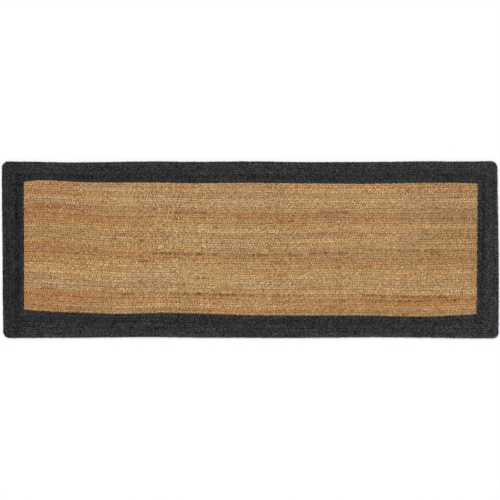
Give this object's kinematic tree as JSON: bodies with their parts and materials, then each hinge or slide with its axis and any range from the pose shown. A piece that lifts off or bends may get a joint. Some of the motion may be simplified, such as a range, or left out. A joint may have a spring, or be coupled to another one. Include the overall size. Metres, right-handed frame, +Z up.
{
  "type": "runner rug",
  "caption": "Long hand-braided jute runner with a natural field of lengthwise plaits sewn side by side and a wide charcoal border of plaits sewn round it.",
  "frame": {"origin": "middle of the rug's footprint, on the face that lies on the floor", "axes": "+X along the runner towards its right end, +Y across it towards its back edge, +Z up out of the floor through the walking surface"},
  "size_m": [2.1341, 0.7591, 0.01],
  "materials": {
    "natural_jute": "matte plaited jute, undyed",
    "charcoal_jute": "matte plaited jute, dyed charcoal",
    "natural_thread": "matte sewing thread, undyed",
    "black_thread": "matte sewing thread, dyed black"
  },
  "bodies": {
    "root": {"field_braid_01": "natural_jute", "field_braid_02": "natural_jute", "field_braid_03": "natural_jute", "field_braid_04": "natural_jute", "field_braid_05": "natural_jute", "field_braid_06": "natural_jute", "field_braid_07": "natural_jute", "field_braid_08": "natural_jute", "field_braid_09": "natural_jute", "field_braid_10": "natural_jute", "field_braid_11": "natural_jute", "field_braid_12": "natural_jute", "field_braid_13": "natural_jute", "field_braid_14": "natural_jute", "field_braid_15": "natural_jute", "field_braid_16": "natural_jute", "field_braid_17": "natural_jute", "field_braid_18": "natural_jute", "field_braid_19": "natural_jute", "field_braid_20": "natural_jute", "field_braid_21": "natural_jute", "field_braid_22": "natural_jute", "field_braid_23": "natural_jute", "field_braid_24": "natural_jute", "field_braid_25": "natural_jute", "field_braid_26": "natural_jute", "border_braid_1": "charcoal_jute", "border_braid_2": "charcoal_jute", "border_braid_3": "charcoal_jute", "border_braid_4": "charcoal_jute", "border_braid_5": "charcoal_jute", "field_thread_01": "natural_thread", "field_thread_02": "natural_thread", "field_thread_03": "natural_thread", "field_thread_04": "natural_thread", "field_thread_05": "natural_thread", "field_thread_06": "natural_thread", "field_thread_07": "natural_thread", "field_thread_08": "natural_thread", "field_thread_09": "natural_thread", "field_thread_10": "natural_thread", "field_thread_11": "natural_thread", "field_thread_12": "natural_thread", "field_thread_13": "natural_thread", "border_thread_1": "black_thread", "border_thread_2": "black_thread", "border_thread_3": "black_thread", "border_thread_4": "black_thread", "border_thread_5": "black_thread"}
  },
  "joints": []
}
